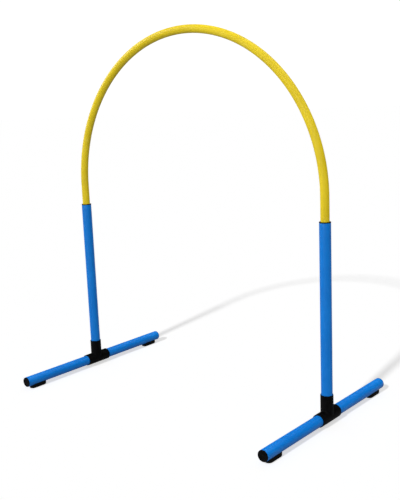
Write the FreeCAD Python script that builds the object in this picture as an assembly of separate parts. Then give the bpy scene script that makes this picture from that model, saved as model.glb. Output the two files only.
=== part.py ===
import FreeCAD, Part
import os

# Agility hurdle: a yellow arch tube that stands in two blue uprights. Each upright stands in a
# black tee, and two blue floor tubes reach out of the tee along the floor, one to the front and
# one to the rear. Each floor tube ends in a black plug and stands on a rubber foot.
# Millimetres. The origin is on the floor, midway between the uprights. X runs from the left
# upright to the right one, Y from front to rear, Z up.

# Whole hurdle
upright_spacing = 880.0      # between the axes of the two uprights
rim_height = 536.0           # floor to the top of the arch socket
base_length = 580.0          # one foot, over both end caps
run_height = 24.0            # floor to the axis of the floor tubes
arch_straight = 62.0         # length of arch above the rim before it starts to bend

# Tubes
tube_od = 30.0
tube_wall = 2.0
tube_chamfer = 0.4
arch_od = 23.0
arch_wall = 2.5

# Fits, as radial clearance
push_fit = 0.05              # a tube in the socket it pulls out of
pressed_fit = 0.02           # a plug or bush that stays in its tube
stop_gap = 0.05              # a tube's end off the ledge that it rests on

# Tee
tee_run_radius = 17.4
tee_branch_radius = 17.0
tee_run_half = 44.0          # from the upright's axis to the mouth of a run socket
tee_branch_height = 59.0     # from the run's axis to the mouth of the branch socket
tee_socket_depth = 32.0
tee_fillet = 3.5             # where the branch meets the run
tee_edge = 0.6               # rounding of the mouths
tee_funnel = 0.4             # lead-in of the sockets

# Arch socket, a bush in the top of the upright
flange_radius = 15.2
flange_thickness = 2.5
socket_depth = 78.0          # from the rim to the floor that the arch stands on
socket_floor = 2.5
drain_radius = 3.0
lead_in = 0.8

# End cap
cap_radius = 14.8
cap_thickness = 1.5
cap_dish = 0.5               # depth of the shallow dish in the cap's face
cap_lip = 1.5                # width of the lip around the dish
cap_skirt_length = 18.0
cap_skirt_wall = 1.8
cap_rib_height = 0.3
cap_rib_width = 1.0
cap_rib_pitch = 5.0
cap_rib_count = 3

# Rubber foot
foot_length = 58.0
foot_width = 23.0
foot_end_gap = 12.0          # from the floor tube's end to the foot
foot_edge = 5.0              # rounding of the foot's lower edge, ends included
foot_top_clear = 0.05
tread_width = 2.0
tread_length = 24.0          # right across the foot
tread_depth = 1.2
tread_offsets = (10.0, 15.0, 20.0)

# Foot screw, a self-tapping screw with a cross recess
screw_radius = 1.9
screw_length = 14.0
screw_point = 3.0
screw_tip_radius = 0.3       # the point is blunt
screw_head_radius = 3.8
screw_head_height = 2.4
screw_seat_height = 4.0      # floor to the underside of the head, seen from above
screw_hole_clear = 0.05
counterbore_radius = 4.5
recess_width = 0.9
recess_length = 4.2
recess_depth = 1.4

# Worked out from the sizes above
tube_radius = tube_od / 2
bore_radius = tube_radius - tube_wall
arch_radius = arch_od / 2
bend_radius = upright_spacing / 2
bend_height = rim_height + arch_straight
arch_end_height = rim_height - socket_depth
socket_radius = tube_radius + push_fit
run_stop = tee_run_half - tee_socket_depth
branch_stop = tee_branch_height - tee_socket_depth
floor_tube_end = base_length / 2 - cap_thickness
foot_centre = floor_tube_end - foot_end_gap - foot_length / 2

origin = FreeCAD.Vector(0, 0, 0)
up = FreeCAD.Vector(0, 0, 1)
down = FreeCAD.Vector(0, 0, -1)
sides = {"left": -1, "right": 1}
ends = {"front": -1, "rear": 1}


def turned(profile):
    """A solid of revolution about Z from a closed outline of (radius, height) points."""
    points = [FreeCAD.Vector(radius, 0, height) for radius, height in profile]
    outline = Part.Face(Part.makePolygon(points + points[:1]))
    return outline.revolve(origin, up, 360)


def placed(shape, position, direction=up):
    """A copy of the shape with its own Z turned to the direction and its origin moved."""
    copy = shape.copy()
    copy.Placement = FreeCAD.Placement(position, FreeCAD.Rotation(up, direction))
    return copy


def rod(radius, length, position=origin, direction=up):
    """A plain round bar."""
    return Part.makeCylinder(radius, length, position, direction)


def tube(length):
    """A blue tube along Z, with both outer edges broken."""
    edge = tube_chamfer
    return turned([
        (bore_radius, 0),
        (tube_radius - edge, 0),
        (tube_radius, edge),
        (tube_radius, length - edge),
        (tube_radius - edge, length),
        (bore_radius, length),
    ])


def arch_tube():
    """The bent tube: two straight legs that stand in the sockets, and a half circle."""
    half = upright_spacing / 2
    left_foot = FreeCAD.Vector(-half, 0, arch_end_height)
    left_bend = FreeCAD.Vector(-half, 0, bend_height)
    crown = FreeCAD.Vector(0, 0, bend_height + bend_radius)
    right_bend = FreeCAD.Vector(half, 0, bend_height)
    right_foot = FreeCAD.Vector(half, 0, arch_end_height)
    route = Part.Wire([
        Part.LineSegment(left_foot, left_bend).toShape(),
        Part.Arc(left_bend, crown, right_bend).toShape(),
        Part.LineSegment(right_bend, right_foot).toShape(),
    ])
    skins = []
    for radius in (arch_radius, arch_radius - arch_wall):
        section = Part.Wire(Part.makeCircle(radius, left_foot, up))
        skins.append(route.makePipeShell([section], True, False))
    return skins[0].cut(skins[1])


def arch_socket():
    """The bush in the upright's top, with its rim at z = 0 and its floor below."""
    skirt = bore_radius - pressed_fit
    bore = arch_radius + push_fit
    floor_top = -socket_depth - stop_gap
    bottom = floor_top - socket_floor
    return turned([
        (drain_radius, bottom),
        (skirt - lead_in, bottom),
        (skirt, bottom + lead_in),
        (skirt, -flange_thickness),
        (flange_radius, -flange_thickness),
        (flange_radius, -lead_in),
        (flange_radius - lead_in, 0),
        (bore + lead_in, 0),
        (bore, -lead_in),
        (bore, floor_top),
        (drain_radius, floor_top),
    ])


def tee():
    """The moulded tee, with its run along Y through the origin and its branch up."""
    back = FreeCAD.Vector(0, 1, 0)
    run_start = FreeCAD.Vector(0, -tee_run_half, 0)
    run = rod(tee_run_radius, 2 * tee_run_half, run_start, back)
    branch = rod(tee_branch_radius, tee_branch_height)
    body = run.fuse(branch)
    joint_edges = []
    mouth_edges = []
    for edge in body.Edges:
        box = edge.BoundBox
        at_mouth = box.YMin > tee_run_half - 1 or box.YMax < 1 - tee_run_half
        at_top = box.ZMin > tee_branch_height - 1
        is_round = edge.Curve.TypeId == "Part::GeomCircle"
        if is_round and (at_mouth or at_top):
            mouth_edges.append(edge)
        elif box.ZMin > 0 and box.ZMax < tee_branch_height - 1:
            joint_edges.append(edge)
    body = body.makeFillet(tee_fillet, joint_edges)
    body = body.makeFillet(tee_edge, matching_edges(body, mouth_edges))
    hollow = rod(bore_radius, 2 * tee_run_half, run_start, back)
    hollow = hollow.fuse(rod(bore_radius, tee_branch_height))
    for direction, mouth in ((back, tee_run_half), (-back, tee_run_half), (up, tee_branch_height)):
        depth_at = direction * (mouth - tee_socket_depth)
        hollow = hollow.fuse(rod(socket_radius, tee_socket_depth, depth_at, direction))
        funnel_at = direction * (mouth - tee_funnel)
        funnel = Part.makeCone(socket_radius, socket_radius + tee_funnel, tee_funnel, funnel_at, direction)
        hollow = hollow.fuse(funnel)
    return body.cut(hollow)


def matching_edges(shape, wanted):
    """The shape's edges that have the same centre of mass and length as the wanted ones."""
    found = []
    for edge in shape.Edges:
        for other in wanted:
            same_place = edge.CenterOfMass.distanceToPoint(other.CenterOfMass) < 0.01
            if same_place and abs(edge.Length - other.Length) < 0.01:
                found.append(edge)
    return found


def floor_tube(axis_at, outward):
    """One half of the floor tube, from its ledge in the tee to its outer end."""
    start = run_stop + stop_gap
    body = placed(tube(floor_tube_end - start), axis_at + outward * start, outward)
    hole_radius = screw_radius + screw_hole_clear
    return body.cut(rod(hole_radius, tube_od, axis_at + outward * foot_centre, down))


def end_cap():
    """The plug in the floor tube's outer end. z = 0 is the tube's end face."""
    rib_radius = bore_radius - pressed_fit
    skirt = rib_radius - cap_rib_height
    inside = skirt - cap_skirt_wall
    rim = cap_radius - cap_lip
    body = turned([
        (0, -cap_dish),
        (inside, -cap_dish),
        (inside, -cap_skirt_length),
        (skirt, -cap_skirt_length),
        (skirt, 0),
        (cap_radius, 0),
        (cap_radius, cap_thickness - cap_dish),
        (cap_radius - cap_dish, cap_thickness),
        (rim, cap_thickness),
        (rim - cap_dish, cap_thickness - cap_dish),
        (0, cap_thickness - cap_dish),
    ])
    for index in range(cap_rib_count):
        bottom = FreeCAD.Vector(0, 0, -(index + 1) * cap_rib_pitch)
        rib = rod(rib_radius, cap_rib_width, bottom)
        body = body.fuse(rib.cut(rod(skirt - cap_rib_height, cap_rib_width, bottom)))
    return body.removeSplitter()


def rubber_foot():
    """The saddle-shaped foot under a floor tube, centred on x = y = 0, standing on z = 0."""
    half_width = foot_width / 2
    half_run = foot_length / 2 - half_width
    blank = Part.makeBox(foot_width, 2 * half_run, run_height,
                         FreeCAD.Vector(-half_width, -half_run, 0))
    for side in (-1, 1):
        blank = blank.fuse(rod(half_width, run_height, FreeCAD.Vector(0, side * half_run, 0)))
    blank = blank.removeSplitter()
    floor_edges = [edge for edge in blank.Edges if edge.BoundBox.ZMax < 0.01]
    blank = blank.makeFillet(foot_edge, floor_edges)
    saddle_at = FreeCAD.Vector(0, -foot_length, run_height)
    saddle = rod(tube_radius + foot_top_clear, 2 * foot_length, saddle_at, FreeCAD.Vector(0, 1, 0))
    above_at = FreeCAD.Vector(-foot_width, -foot_length, run_height - tube_radius / 2)
    above = Part.makeBox(2 * foot_width, 2 * foot_length, run_height, above_at)
    foot = blank.cut(saddle.fuse(above))
    for side in (-1, 1):
        for offset in tread_offsets:
            corner = FreeCAD.Vector(-tread_length / 2, side * offset - tread_width / 2, 0)
            foot = foot.cut(Part.makeBox(tread_length, tread_width, tread_depth, corner))
    foot = foot.cut(rod(counterbore_radius, screw_seat_height))
    return foot.cut(rod(screw_radius + screw_hole_clear, run_height))


def foot_screw():
    """The screw, head down, on the Z axis at its real height above the floor."""
    head_bottom = screw_seat_height - screw_head_height
    tip = screw_seat_height + screw_length
    body = turned([
        (0, head_bottom),
        (screw_head_radius - 1.0, head_bottom),
        (screw_head_radius, head_bottom + 1.0),
        (screw_head_radius, screw_seat_height),
        (screw_radius, screw_seat_height),
        (screw_radius, tip - screw_point),
        (screw_tip_radius, tip),
        (0, tip),
    ])
    slot = Part.makeBox(recess_length, recess_width, recess_depth,
                        FreeCAD.Vector(-recess_length / 2, -recess_width / 2, head_bottom))
    for angle in (0, 90):
        arm = slot.copy()
        arm.rotate(origin, up, angle)
        body = body.cut(arm)
    return body


def make_parts():
    """Every piece of the hurdle, by name, where it stands."""
    parts = {"arch_tube": arch_tube()}
    upright_start = run_height + branch_stop + stop_gap
    upright = tube(rim_height - flange_thickness - upright_start)
    for side, x_sign in sides.items():
        x = x_sign * upright_spacing / 2
        parts[side + "_arch_socket"] = placed(arch_socket(), FreeCAD.Vector(x, 0, rim_height))
        parts[side + "_upright_tube"] = placed(upright, FreeCAD.Vector(x, 0, upright_start))
        parts[side + "_tee"] = placed(tee(), FreeCAD.Vector(x, 0, run_height))
        for end, y_sign in ends.items():
            name = side + "_" + end + "_"
            outward = FreeCAD.Vector(0, y_sign, 0)
            axis_at = FreeCAD.Vector(x, 0, run_height)
            cap_at = axis_at + outward * floor_tube_end
            foot_at = FreeCAD.Vector(x, y_sign * foot_centre, 0)
            parts[name + "floor_tube"] = floor_tube(axis_at, outward)
            parts[name + "end_cap"] = placed(end_cap(), cap_at, outward)
            parts[name + "rubber_foot"] = placed(rubber_foot(), foot_at)
            parts[name + "foot_screw"] = placed(foot_screw(), foot_at)
    return parts


os.makedirs("parts", exist_ok=True)
for part_name, part_shape in make_parts().items():
    solids = part_shape.Solids
    if len(solids) != 1 or not part_shape.isValid():
        raise ValueError(part_name + " is not one valid solid")
    solids[0].exportStep("parts/" + part_name + ".step")
    print(part_name, round(solids[0].Volume / 1000, 2), "cm3")
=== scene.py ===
"""Looks for the agility hurdle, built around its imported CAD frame. Metres, in the CAD's own frame."""

import math

import bmesh
import bpy
from mathutils import Matrix, Vector


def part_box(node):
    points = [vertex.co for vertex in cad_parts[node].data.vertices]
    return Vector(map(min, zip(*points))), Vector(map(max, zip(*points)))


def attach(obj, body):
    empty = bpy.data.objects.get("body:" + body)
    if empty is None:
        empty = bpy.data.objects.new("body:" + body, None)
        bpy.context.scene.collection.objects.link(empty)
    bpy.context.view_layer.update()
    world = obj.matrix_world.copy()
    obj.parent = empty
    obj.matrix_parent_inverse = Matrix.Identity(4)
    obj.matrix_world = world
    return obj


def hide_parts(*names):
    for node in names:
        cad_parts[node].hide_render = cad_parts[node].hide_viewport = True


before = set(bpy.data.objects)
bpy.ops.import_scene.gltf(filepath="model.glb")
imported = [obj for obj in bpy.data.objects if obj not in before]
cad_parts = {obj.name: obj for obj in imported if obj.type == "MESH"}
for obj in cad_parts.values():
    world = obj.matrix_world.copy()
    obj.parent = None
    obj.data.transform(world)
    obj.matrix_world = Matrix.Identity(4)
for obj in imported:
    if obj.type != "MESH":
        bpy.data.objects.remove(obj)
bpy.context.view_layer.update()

SIDES = ("left", "right")
ENDS = ("front", "rear")
UP = Vector((0, 0, 1))
MM = 0.001


# ---------------------------------------------------------------- sizes, read from the frame

def box_centre(node):
    """The middle of a CAD node's box."""
    low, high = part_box(node)
    return (low + high) / 2


def box_size(node):
    """The size of a CAD node's box."""
    low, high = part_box(node)
    return high - low


TUBE_RADIUS = box_size("left_upright_tube").x / 2
ARCH_RADIUS = box_size("arch_tube").y / 2
FLANGE_RADIUS = box_size("left_arch_socket").x / 2
CAP_RADIUS = box_size("left_front_end_cap").x / 2
TUBE_WALL = 2.0 * MM
ARCH_WALL = 2.5 * MM
FLANGE_THICKNESS = 2.5 * MM
CAP_THICKNESS = 1.5 * MM
SLIDING_GAP = 0.05 * MM         # between a tube and the socket that it slides in
PRESSED_GAP = 0.02 * MM         # between a tube and a piece that is pressed into it
TUBE_RUBBED_LENGTH = 32.0 * MM  # the stretch of a blue tube that its tee's socket rubs
ARCH_RUBBED_LENGTH = 75.5 * MM  # the stretch of the arch that its socket rubs
SCREW_HOLE_RADIUS = 1.95 * MM


# ---------------------------------------------------------------- mesh building

TUBE_SEGMENTS = 96
ARCH_SEGMENTS = 72
DRILL_SEGMENTS = 32
SHARP_ANGLE_DEG = 35
ON_THE_AXIS = 1e-6              # a radius below this is a single point of the outline


def straight(start, direction):
    """A path that runs straight from a point. It gives the centre and two cross directions."""
    along = Vector(direction).normalized()
    side = Vector((1, 0, 0)) if abs(along.x) < 0.5 else Vector((0, 1, 0))
    other = along.cross(side)

    def at(distance):
        return Vector(start) + along * distance, side, other

    return at


def arch_path():
    """The arch's centre line: up from the left socket, round the half circle and down again."""
    low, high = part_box("arch_tube")
    bend_radius = (high.x - low.x) / 2 - ARCH_RADIUS
    leg = (high.z - low.z) - ARCH_RADIUS - bend_radius
    bend_height = low.z + leg
    half_turn = math.pi * bend_radius

    def at(distance):
        if distance < leg:
            centre = Vector((-bend_radius, 0, low.z + distance))
            angle = 0.0
        elif distance < leg + half_turn:
            angle = (distance - leg) / bend_radius
            centre = Vector((-math.cos(angle) * bend_radius, 0,
                             bend_height + math.sin(angle) * bend_radius))
        else:
            angle = math.pi
            centre = Vector((bend_radius, 0, bend_height - (distance - leg - half_turn)))
        outward = Vector((-math.cos(angle), 0, math.sin(angle)))
        return centre, outward, Vector((0, 1, 0))

    return at, 2 * leg + half_turn


def rounded(corners, steps=4):
    """An outline from (radius, distance, fillet) corners, with an arc of the fillet at each."""
    points = []
    count = len(corners)
    for index, (radius, distance, fillet) in enumerate(corners):
        here = Vector((radius, distance))
        if fillet <= 0:
            points.append(here)
            continue
        before = Vector(corners[index - 1][:2]) - here
        after = Vector(corners[(index + 1) % count][:2]) - here
        half_angle = before.angle(after) / 2
        start = here + before.normalized() * fillet / math.tan(half_angle)
        end = here + after.normalized() * fillet / math.tan(half_angle)
        towards = (before.normalized() + after.normalized()).normalized()
        centre = here + towards * fillet / math.sin(half_angle)
        spoke_start = start - centre
        spoke_end = end - centre
        turn = spoke_start.angle_signed(spoke_end)
        for step in range(steps + 1):
            spoke = spoke_start.copy()
            spoke.rotate(Matrix.Rotation(-turn * step / steps, 2))
            points.append(centre + spoke)
    return [(point.x, point.y) for point in points]


def with_steps(outline, longest):
    """The same outline with its long runs split, so that they can bend or carry a texture."""
    points = []
    for index, (radius, distance) in enumerate(outline):
        next_radius, next_distance = outline[(index + 1) % len(outline)]
        pieces = max(1, math.ceil(abs(next_distance - distance) / longest))
        for piece in range(pieces):
            share = piece / pieces
            points.append((radius + (next_radius - radius) * share,
                           distance + (next_distance - distance) * share))
    return points


def turned(name, outline, path, material, segments=TUBE_SEGMENTS):
    """A round piece: a closed outline of (radius, distance) points, turned about the path.
    Each point keeps its straightened place as the attribute tube_space, for its material."""
    mesh = bpy.data.meshes.new(name)
    build = bmesh.new()
    space = build.verts.layers.float_vector.new("tube_space")
    rings = []
    for radius, distance in outline:
        centre, side, other = path(distance)
        if radius < ON_THE_AXIS:
            vertex = build.verts.new(centre)
            vertex[space] = (0, 0, distance)
            rings.append([vertex])
            continue
        ring = []
        for index in range(segments):
            angle = 2 * math.pi * index / segments
            across = radius * math.cos(angle)
            upward = radius * math.sin(angle)
            vertex = build.verts.new(centre + side * across + other * upward)
            vertex[space] = (across, upward, distance)
            ring.append(vertex)
        rings.append(ring)
    for ring, following in zip(rings, rings[1:] + rings[:1]):
        join_rings(build, ring, following)
    bmesh.ops.recalc_face_normals(build, faces=build.faces)
    build.to_mesh(mesh)
    build.free()
    mesh.shade_smooth()
    mesh.set_sharp_from_angle(angle=math.radians(SHARP_ANGLE_DEG))
    mesh.materials.append(material)
    piece = bpy.data.objects.new(name, mesh)
    bpy.context.scene.collection.objects.link(piece)
    return piece


def join_rings(build, ring, following):
    """Faces between two rings of an outline, either of which may be a single point."""
    if len(ring) == 1 and len(following) == 1:
        return
    count = max(len(ring), len(following))
    for index in range(count):
        after = (index + 1) % count
        if len(ring) == 1:
            build.faces.new((ring[0], following[after], following[index]))
        elif len(following) == 1:
            build.faces.new((ring[index], ring[after], following[0]))
        else:
            build.faces.new((ring[index], ring[after], following[after], following[index]))


def tube_outline(outer, wall, length, edge=0.4 * MM, longest=0.02):
    """The outline of a tube with its four end edges rounded."""
    inner = outer - wall
    corners = [(inner, 0, edge), (outer, 0, edge), (outer, length, edge), (inner, length, edge)]
    return with_steps(rounded(corners), longest)


# ---------------------------------------------------------------- materials

class Shader:
    """A material's node tree, with short ways to add and join nodes."""

    def __init__(self, name):
        self.material = bpy.data.materials.new(name)
        self.material.use_nodes = True
        self.tree = self.material.node_tree
        self.surface = self.tree.nodes["Principled BSDF"]

    def add(self, kind, settings=None, **sockets):
        node = self.tree.nodes.new("ShaderNode" + kind)
        for key, value in (settings or {}).items():
            setattr(node, key, value)
        for key, value in sockets.items():
            self.join(node.inputs[key.replace("_", " ")], value)
        return node

    def join(self, socket, value):
        if isinstance(value, bpy.types.NodeSocket):
            self.tree.links.new(value, socket)
        else:
            socket.default_value = value

    def place(self, attribute=None):
        """The point's place: a named attribute, or the object's own coordinates."""
        if attribute:
            return self.add("Attribute", {"attribute_name": attribute}).outputs["Vector"]
        return self.add("TexCoord").outputs["Object"]

    def stretched(self, place, scale):
        return self.add("Mapping", Vector=place, Scale=scale).outputs["Vector"]

    def noise(self, place, scale, detail=3.0, roughness=0.5, distortion=0.0):
        node = self.add("TexNoise", Vector=place, Scale=scale, Detail=detail,
                        Roughness=roughness, Distortion=distortion)
        return node.outputs["Fac"]

    def ranged(self, value, low, high, to_low=0.0, to_high=1.0):
        node = self.add("MapRange", {"interpolation_type": "SMOOTHSTEP"}, Value=value)
        for key, number in (("From Min", low), ("From Max", high),
                            ("To Min", to_low), ("To Max", to_high)):
            node.inputs[key].default_value = number
        return node.outputs["Result"]

    def sum_of(self, first, second, operation="ADD"):
        node = self.add("Math", {"operation": operation})
        self.join(node.inputs[0], first)
        self.join(node.inputs[1], second)
        return node.outputs[0]

    def mixed(self, factor, first, second, blend="MIX"):
        node = self.add("Mix", {"data_type": "RGBA", "blend_type": blend})
        self.join(node.inputs["Factor"], factor)
        self.join(node.inputs["A"], first)
        self.join(node.inputs["B"], second)
        return node.outputs["Result"]

    def bumped(self, layers):
        """Bumps from (height, depth in metres) layers, the last one on top."""
        normal = None
        for height, depth in layers:
            node = self.add("Bump", Height=height, Distance=depth, Strength=1.0)
            if normal:
                self.join(node.inputs["Normal"], normal)
            normal = node.outputs["Normal"]
        self.join(self.surface.inputs["Normal"], normal)


def colour(red, green, blue):
    """A linear colour, opaque."""
    return (red, green, blue, 1.0)


BLUE = colour(0.0009, 0.155, 0.531)
BLUE_DEEP = colour(0.0009, 0.130, 0.468)
BLUE_PALE = colour(0.027, 0.225, 0.594)
YELLOW = colour(0.640, 0.490, 0.0105)
YELLOW_DEEP = colour(0.556, 0.415, 0.0074)
YELLOW_PALE = colour(0.756, 0.651, 0.137)
BLUE_ROUGHNESS = 0.38
YELLOW_ROUGHNESS = 0.45
PIPE_SPECULAR = 0.18
MOULDING_SPECULAR = 0.04
RUBBER_SPECULAR = 0.08
LINE_DEPTH_OF_COLOUR = 0.34     # how far a draw line goes towards the deep colour
CLOUD_PALENESS = 0.14           # how far a cloud goes towards the pale colour
MARK_PALENESS = 0.6             # how far a scuff goes towards the pale colour
MARK_DULLNESS = 0.2             # how much roughness a scuff adds
RUB_STRENGTH = 0.7              # a rub mark beside a scuff
EDGE_WEAR = 0.5                 # how far a worn edge goes towards its pale colour
DUST_SHARE = 0.35               # how far dust on the rubber goes towards its colour


def scratch_mask(shader, place, slant, density):
    """Sparse hairline scratches along one slant: thin stretched noise, cut to a few lines."""
    slanted = shader.add("Mapping", Vector=place)
    slanted.inputs["Rotation"].default_value = slant
    slanted.inputs["Scale"].default_value = (1500.0, 1500.0, 22.0)
    lines = shader.noise(slanted.outputs["Vector"], 1.0, detail=1.0)
    thin = shader.ranged(lines, 0.70 - density, 0.76 - density)
    patches = shader.ranged(shader.noise(place, 14.0, detail=2.0), 0.46, 0.64)
    return shader.sum_of(thin, patches, "MULTIPLY")


def rub_mask(shader, place, rubbed_length, whole_length=None):
    """Lengthwise rub marks on the stretch of a tube that slides in a socket. Where the whole
    length is given, both ends of the tube have such a stretch."""
    along = shader.add("SeparateXYZ", Vector=place).outputs["Z"]
    if whole_length:
        from_far_end = shader.sum_of(whole_length, along, "SUBTRACT")
        along = shader.sum_of(along, from_far_end, "MINIMUM")
    ragged = shader.noise(shader.stretched(place, (160.0, 160.0, 4.0)), 1.0, detail=2.0)
    reach = shader.sum_of(along, shader.sum_of(ragged, 12.0 * MM, "MULTIPLY"))
    inside = shader.ranged(reach, rubbed_length, rubbed_length + 5.0 * MM, 1.0, 0.0)
    marks = shader.noise(shader.stretched(place, (1100.0, 1100.0, 9.0)), 1.0, detail=3.0)
    return shader.sum_of(inside, shader.ranged(marks, 0.46, 0.66), "MULTIPLY")


def tube_material(name, base, deep, pale, roughness, rubbed_length, whole_length=None):
    """Extruded plastic pipe: lengthwise draw lines, faint mottling, orange peel, scuffs, and
    rub marks where it slides into its socket."""
    shader = Shader(name)
    place = shader.place("tube_space")
    draw_lines = shader.noise(shader.stretched(place, (1100.0, 1100.0, 1.5)), 1.0, detail=3.0)
    mottle = shader.noise(place, 9.0, detail=3.0)
    cloud = shader.noise(place, 55.0, detail=4.0, roughness=0.6)
    peel = shader.noise(place, 420.0, detail=2.0)
    scuffs = shader.sum_of(scratch_mask(shader, place, (0.35, 0.1, 0.2), 0.05),
                           scratch_mask(shader, place, (-0.5, 0.25, 1.1), 0.04), "MAXIMUM")
    rubs = rub_mask(shader, place, rubbed_length, whole_length)
    marked = shader.sum_of(scuffs, shader.sum_of(rubs, RUB_STRENGTH, "MULTIPLY"), "MAXIMUM")
    tone = shader.mixed(shader.ranged(mottle, 0.3, 0.7), deep, base)
    lined = shader.ranged(draw_lines, 0.35, 0.75, 0.0, LINE_DEPTH_OF_COLOUR)
    tone = shader.mixed(lined, tone, deep)
    clouded = shader.ranged(cloud, 0.55, 0.8, 0.0, CLOUD_PALENESS)
    tone = shader.mixed(clouded, tone, pale)
    tone = shader.mixed(shader.sum_of(marked, MARK_PALENESS, "MULTIPLY"), tone, pale)
    shader.join(shader.surface.inputs["Base Color"], tone)
    smears = shader.ranged(cloud, 0.35, 0.7, roughness - 0.06, roughness + 0.10)
    dulled = shader.sum_of(smears, shader.sum_of(marked, MARK_DULLNESS, "MULTIPLY"))
    shader.join(shader.surface.inputs["Roughness"], dulled)
    shader.surface.inputs["Specular IOR Level"].default_value = PIPE_SPECULAR
    shader.bumped([(draw_lines, 0.05 * MM), (peel, 0.06 * MM),
                   (shader.sum_of(marked, -1.0, "MULTIPLY"), 0.03 * MM)])
    return shader.material


def moulded_material(name, seam_at=None):
    """Black moulded plastic with a fine spark-eroded grain, flow marks and rubbed edges."""
    shader = Shader(name)
    place = shader.place()
    grain = shader.noise(place, 2200.0, detail=2.0, roughness=0.6)
    pits = shader.add("TexVoronoi", {"feature": "F1"}, Vector=place, Scale=1300.0)
    flow = shader.noise(place, 60.0, detail=4.0, distortion=1.2)
    pointed = shader.add("NewGeometry").outputs["Pointiness"]
    edges = shader.ranged(pointed, 0.53, 0.62)
    chips = shader.ranged(shader.noise(place, 320.0, detail=3.0), 0.48, 0.62)
    worn = shader.sum_of(edges, chips, "MULTIPLY")
    tone = shader.mixed(shader.ranged(flow, 0.35, 0.7), colour(0.0011, 0.0011, 0.0012),
                        colour(0.0026, 0.0026, 0.0028))
    tone = shader.mixed(shader.sum_of(worn, EDGE_WEAR, "MULTIPLY"), tone,
                        colour(0.018, 0.018, 0.019))
    shader.join(shader.surface.inputs["Base Color"], tone)
    shader.join(shader.surface.inputs["Roughness"], shader.ranged(flow, 0.3, 0.7, 0.44, 0.58))
    shader.surface.inputs["Specular IOR Level"].default_value = MOULDING_SPECULAR
    layers = [(grain, 0.05 * MM), (pits.outputs["Distance"], 0.04 * MM)]
    if seam_at is not None:
        spread = shader.add("SeparateXYZ", Vector=place).outputs["X"]
        away = shader.sum_of(spread, seam_at, "SUBTRACT")
        away = shader.sum_of(away, away, "MULTIPLY")
        ridge = shader.ranged(away, (0.05 * MM) ** 2, (0.3 * MM) ** 2, 1.0, 0.0)
        layers.append((ridge, 0.12 * MM))
    shader.bumped(layers)
    return shader.material


def rubber_material():
    """Black rubber: matt, a little dusty where it meets the floor."""
    shader = Shader("foot_rubber")
    place = shader.place()
    grain = shader.noise(place, 1500.0, detail=3.0, roughness=0.65)
    bloom = shader.noise(place, 130.0, detail=4.0, roughness=0.6)
    height = shader.add("SeparateXYZ", Vector=place).outputs["Z"]
    low = shader.ranged(height, 0.0, 4.0 * MM, 1.0, 0.0)
    dust = shader.sum_of(low, shader.ranged(bloom, 0.4, 0.65), "MULTIPLY")
    tone = shader.mixed(shader.ranged(bloom, 0.35, 0.7), colour(0.0015, 0.0015, 0.0015),
                        colour(0.0038, 0.0037, 0.0036))
    tone = shader.mixed(shader.sum_of(dust, DUST_SHARE, "MULTIPLY"), tone,
                        colour(0.03, 0.028, 0.024))
    shader.join(shader.surface.inputs["Base Color"], tone)
    shader.join(shader.surface.inputs["Roughness"], shader.ranged(bloom, 0.3, 0.7, 0.68, 0.85))
    shader.surface.inputs["Specular IOR Level"].default_value = RUBBER_SPECULAR
    shader.bumped([(grain, 0.06 * MM), (bloom, 0.05 * MM)])
    return shader.material


def zinc_material():
    """Zinc-plated screw: bright, with fine turning marks and a little tarnish."""
    shader = Shader("screw_zinc")
    place = shader.place()
    turning = shader.noise(shader.stretched(place, (300.0, 300.0, 4000.0)), 1.0, detail=2.0)
    tarnish = shader.noise(place, 700.0, detail=4.0, roughness=0.6)
    tone = shader.mixed(shader.ranged(tarnish, 0.4, 0.7), colour(0.62, 0.62, 0.6),
                        colour(0.42, 0.4, 0.36))
    shader.join(shader.surface.inputs["Base Color"], tone)
    shader.join(shader.surface.inputs["Roughness"], shader.ranged(tarnish, 0.3, 0.7, 0.28, 0.48))
    shader.surface.inputs["Metallic"].default_value = 1.0
    shader.bumped([(turning, 0.02 * MM)])
    return shader.material


# ---------------------------------------------------------------- pieces

def build_arch(material):
    """The yellow arch tube, one bent length."""
    path, length = arch_path()
    outline = tube_outline(ARCH_RADIUS, ARCH_WALL, length, edge=0.5 * MM, longest=8.0 * MM)
    piece = turned("yellow_arch", outline, path, material, ARCH_SEGMENTS)
    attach(piece, "arch")
    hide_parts("arch_tube")


def build_upright(side, material):
    """A blue upright tube."""
    node = side + "_upright_tube"
    low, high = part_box(node)
    middle = box_centre(node)
    path = straight((middle.x, middle.y, low.z), UP)
    outline = tube_outline(TUBE_RADIUS, TUBE_WALL, high.z - low.z)
    piece = turned("blue_" + side + "_upright", outline, path, material)
    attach(piece, side + "_upright")
    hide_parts(node)


def build_arch_socket(side, material):
    """The black bush in an upright's top."""
    node = side + "_arch_socket"
    low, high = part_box(node)
    middle = box_centre(node)
    depth = high.z - low.z
    bore = ARCH_RADIUS + SLIDING_GAP
    skirt = TUBE_RADIUS - TUBE_WALL - PRESSED_GAP
    floor = 2.5 * MM            # the thickness of the floor that the arch stands on
    drain = 3.0 * MM            # the radius of the drain hole in that floor
    outline = rounded([
        (drain, 0, 0.2 * MM),
        (skirt, 0, 0.8 * MM),
        (skirt, depth - FLANGE_THICKNESS, 0),
        (FLANGE_RADIUS, depth - FLANGE_THICKNESS, 0.3 * MM),
        (FLANGE_RADIUS, depth, 0.9 * MM),
        (bore, depth, 0.9 * MM),
        (bore, floor, 0),
        (drain, floor, 0.2 * MM),
    ], steps=5)
    path = straight((middle.x, middle.y, low.z), UP)
    piece = turned("black_" + side + "_arch_socket", outline, path, material)
    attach(piece, side + "_upright")
    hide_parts(node)


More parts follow.
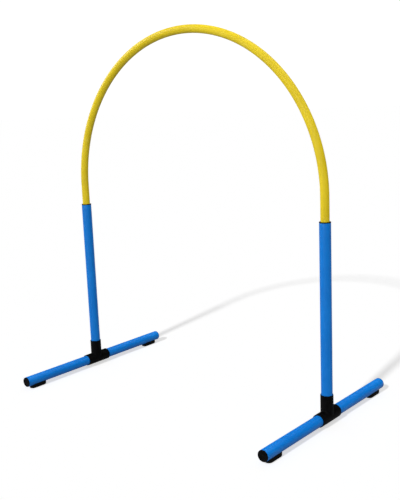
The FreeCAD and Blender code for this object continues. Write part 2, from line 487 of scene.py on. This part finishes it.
def build_floor_tube(side, end, material):
    """One half of a floor tube, with the hole that its foot's screw goes through."""
    node = side + "_" + end + "_floor_tube"
    low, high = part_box(node)
    middle = box_centre(node)
    outward = -1 if end == "front" else 1
    start = high.y if outward < 0 else low.y
    path = straight((middle.x, start, middle.z), (0, outward, 0))
    outline = tube_outline(TUBE_RADIUS, TUBE_WALL, high.y - low.y)
    piece = turned("blue_" + side + "_" + end + "_floor_tube", outline, path, material)
    screw = box_centre(side + "_" + end + "_foot_screw")
    hole = straight((screw.x, screw.y, low.z - TUBE_WALL), UP)
    depth = 3 * TUBE_WALL       # through the lower wall, with a wall to spare on both sides
    drill_outline = [(0, 0), (SCREW_HOLE_RADIUS, 0), (SCREW_HOLE_RADIUS, depth), (0, depth)]
    drill = turned("drill", drill_outline, hole, material, DRILL_SEGMENTS)
    cut_away(piece, drill)
    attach(piece, side + "_" + end + "_base_half")
    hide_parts(node)


def cut_away(piece, tool):
    """Cuts the tool's shape out of the piece, and removes the tool."""
    cut = piece.modifiers.new("cut", "BOOLEAN")
    cut.operation = "DIFFERENCE"
    cut.solver = "EXACT"
    cut.object = tool
    with bpy.context.temp_override(object=piece, active_object=piece):
        bpy.ops.object.modifier_apply(modifier=cut.name)
    bpy.data.objects.remove(tool)


def build_end_cap(side, end, material):
    """The black plug in a floor tube's outer end: a dished face with a lip, a ribbed skirt."""
    node = side + "_" + end + "_end_cap"
    low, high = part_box(node)
    middle = box_centre(node)
    outward = -1 if end == "front" else 1
    start = high.y if outward < 0 else low.y
    length = high.y - low.y
    face = length - CAP_THICKNESS
    web = face - 0.5 * MM       # the inner side of the plate that closes the tube
    rib = TUBE_RADIUS - TUBE_WALL - PRESSED_GAP
    rib_pitch = 5.0 * MM
    skirt = rib - 0.3 * MM
    inside = skirt - 1.8 * MM
    lip = CAP_RADIUS - 1.6 * MM
    dish = length - 0.5 * MM    # the dished face, which has a small raised ring in its middle
    corners = [
        (0, web, 0),
        (inside, web, 0.4 * MM),
        (inside, 0, 0.4 * MM),
        (skirt, 0, 0.5 * MM),
    ]
    for index in (3, 2, 1):
        foot_of_rib = face - index * rib_pitch
        corners += [
            (skirt, foot_of_rib, 0),
            (rib, foot_of_rib + 0.2 * MM, 0),
            (rib, foot_of_rib + 0.8 * MM, 0),
            (skirt, foot_of_rib + 1.0 * MM, 0),
        ]
    corners += [
        (skirt, face, 0),
        (CAP_RADIUS, face, 0.2 * MM),
        (CAP_RADIUS, length, 0.8 * MM),
        (lip, length, 0.25 * MM),
        (lip - 0.5 * MM, dish, 0.4 * MM),
        (2.6 * MM, dish, 0.2 * MM),
        (2.2 * MM, dish + 0.25 * MM, 0.15 * MM),
        (0.9 * MM, dish + 0.25 * MM, 0.1 * MM),
        (0.7 * MM, dish + 0.1 * MM, 0),
        (0, dish + 0.1 * MM, 0),
    ]
    path = straight((middle.x, start, middle.z), (0, outward, 0))
    piece = turned("black_" + side + "_" + end + "_end_cap", rounded(corners), path, material)
    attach(piece, side + "_" + end + "_base_half")
    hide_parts(node)


def dress_cad_node(node, material):
    """A CAD node that keeps its shape gets a finished material."""
    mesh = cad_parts[node].data
    mesh.materials.clear()
    mesh.materials.append(material)


# ---------------------------------------------------------------- studio

CAMERA_PLACE = Vector((1.4440, -1.6700, 0.8390))
CAMERA_YAW_DEG = -40.28
CAMERA_PITCH_DEG = 10.65
CAMERA_ROLL_DEG = -2.34
CAMERA_LENS_MM = 56.3

# The key lights only the floor, and the fills light everything but the floor, so that the
# floor stays white with light shadows while the hurdle is lit from all round.
KEY_FROM = (0.2, -1.5, 1.0)
KEY_STRENGTH = 1.9
KEY_SOFTNESS_DEG = 3.2
FILLS = (
    # name, seen towards, strength, softness in degrees, whether it gives highlights
    ("key_fill", KEY_FROM, 0.56, KEY_SOFTNESS_DEG, True),
    ("side_fill", (1.5, -1.4, 0.8), 0.68, 25.0, True),
    ("left_fill", (-1.5, -0.6, 0.6), 2.12, 40.0, True),
    ("front_fill", (0.1, -1.5, 0.3), 1.68, 40.0, True),
    ("right_fill", (0.8, 0.1, 1.0), 0.82, 50.0, True),
    ("top_fill", (0.0, 0.0, 1.0), 0.37, 60.0, True),
    # a highlight from behind would put a pale streak on the floor tubes
    ("back_fill", (0.0, 0.5, 1.0), 2.31, 50.0, False),
)

SKY_AT_HORIZON = 0.0
SKY_OVERHEAD = 0.2
SKY_SEEN = 1.05                 # a little over white, so that it stays white to the camera
FLOOR_GLOW = 0.626
FLOOR_SIZE = 120.0


def build_floor():
    """A pale floor that reaches the horizon. Its glow, which only the camera sees, keeps the
    shadows on it light."""
    shader = Shader("studio_floor")
    seen = shader.add("LightPath").outputs["Is Camera Ray"]
    mottle = shader.noise(shader.place(), 3.0)
    shade = shader.mixed(mottle, colour(0.797, 0.797, 0.797), colour(0.803, 0.803, 0.803))
    shader.join(shader.surface.inputs["Base Color"],
                shader.mixed(seen, colour(0.95, 0.95, 0.95), shade))
    shader.surface.inputs["Emission Color"].default_value = colour(1.0, 1.0, 1.0)
    shader.join(shader.surface.inputs["Emission Strength"],
                shader.sum_of(seen, FLOOR_GLOW, "MULTIPLY"))
    shader.surface.inputs["Roughness"].default_value = 1.0
    shader.surface.inputs["Specular IOR Level"].default_value = 0.0
    bpy.ops.mesh.primitive_plane_add(size=FLOOR_SIZE, location=(0, 0, 0))
    floor = bpy.context.object
    floor.name = "studio_floor"
    floor.data.materials.append(shader.material)
    return floor


def build_world():
    """White to the camera. Everything else it lights softly, most from straight above."""
    world = bpy.data.worlds.new("studio")
    world.use_nodes = True
    bpy.context.scene.world = world
    nodes = world.node_tree.nodes
    links = world.node_tree.links
    fill = nodes["Background"]
    direction = nodes.new("ShaderNodeTexCoord")
    split = nodes.new("ShaderNodeSeparateXYZ")
    rise = nodes.new("ShaderNodeMapRange")
    rise.inputs["To Min"].default_value = SKY_AT_HORIZON
    rise.inputs["To Max"].default_value = SKY_OVERHEAD
    links.new(direction.outputs["Generated"], split.inputs["Vector"])
    links.new(split.outputs["Z"], rise.inputs["Value"])
    links.new(rise.outputs["Result"], fill.inputs["Strength"])
    fill.inputs["Color"].default_value = colour(1.0, 1.0, 1.0)
    white = nodes.new("ShaderNodeBackground")
    white.inputs["Color"].default_value = colour(1.0, 1.0, 1.0)
    white.inputs["Strength"].default_value = SKY_SEEN
    path = nodes.new("ShaderNodeLightPath")
    mix = nodes.new("ShaderNodeMixShader")
    links.new(path.outputs["Is Camera Ray"], mix.inputs["Fac"])
    links.new(fill.outputs["Background"], mix.inputs[1])
    links.new(white.outputs["Background"], mix.inputs[2])
    links.new(mix.outputs["Shader"], nodes["World Output"].inputs["Surface"])


def build_lamp(name, seen_towards, strength, softness_deg):
    """A distant lamp that stands towards the given direction, with a soft edge to its shadows."""
    lamp = bpy.data.lights.new(name, "SUN")
    lamp.energy = strength
    lamp.angle = math.radians(softness_deg)
    light = bpy.data.objects.new(name, lamp)
    bpy.context.scene.collection.objects.link(light)
    light.rotation_euler = Vector(seen_towards).to_track_quat("Z", "Y").to_euler()
    return light


def link_to(light, piece, state):
    """The lamp lights only this object (INCLUDE), or everything but this object (EXCLUDE)."""
    group = bpy.data.collections.new("linked_to_" + light.name)
    group.objects.link(piece)
    light.light_linking.receiver_collection = group
    group.collection_objects[0].light_linking.link_state = state


def build_camera():
    """The camera stands in front and to the right, a little above the rim, looking down."""
    yaw = math.radians(CAMERA_YAW_DEG)
    pitch = math.radians(CAMERA_PITCH_DEG)
    roll = math.radians(CAMERA_ROLL_DEG)
    forward = Vector((math.sin(yaw) * math.cos(pitch), math.cos(yaw) * math.cos(pitch),
                      -math.sin(pitch)))
    level = Vector((math.cos(yaw), -math.sin(yaw), 0))
    above = level.cross(forward)
    right = math.cos(roll) * level + math.sin(roll) * above
    up = math.cos(roll) * above - math.sin(roll) * level
    lens = bpy.data.cameras.new("camera")
    lens.sensor_width = 36.0
    lens.lens = CAMERA_LENS_MM
    camera = bpy.data.objects.new("camera", lens)
    turn = Matrix((right, up, -forward)).transposed().to_4x4()
    camera.matrix_world = Matrix.Translation(CAMERA_PLACE) @ turn
    bpy.context.scene.collection.objects.link(camera)
    bpy.context.scene.camera = camera


# ---------------------------------------------------------------- the whole hurdle

arch_length = arch_path()[1]
blue = tube_material("blue_pipe", BLUE, BLUE_DEEP, BLUE_PALE, BLUE_ROUGHNESS,
                     TUBE_RUBBED_LENGTH)
yellow = tube_material("yellow_pipe", YELLOW, YELLOW_DEEP, YELLOW_PALE, YELLOW_ROUGHNESS,
                       ARCH_RUBBED_LENGTH, arch_length)
rubber = rubber_material()
zinc = zinc_material()
moulding = moulded_material("black_moulding")

build_arch(yellow)
for side in SIDES:
    tee_seam = box_centre(side + "_tee").x
    build_upright(side, blue)
    build_arch_socket(side, moulding)
    dress_cad_node(side + "_tee", moulded_material("black_tee_" + side, tee_seam))
    for end in ENDS:
        build_floor_tube(side, end, blue)
        build_end_cap(side, end, moulding)
        dress_cad_node(side + "_" + end + "_rubber_foot", rubber)
        dress_cad_node(side + "_" + end + "_foot_screw", zinc)

studio_floor = build_floor()
build_world()
link_to(build_lamp("key", KEY_FROM, KEY_STRENGTH, KEY_SOFTNESS_DEG), studio_floor, "INCLUDE")
for name, seen_towards, strength, softness_deg, highlights in FILLS:
    fill = build_lamp(name, seen_towards, strength, softness_deg)
    fill.visible_glossy = highlights
    link_to(fill, studio_floor, "EXCLUDE")
build_camera()
bpy.context.scene.view_settings.view_transform = "Standard"
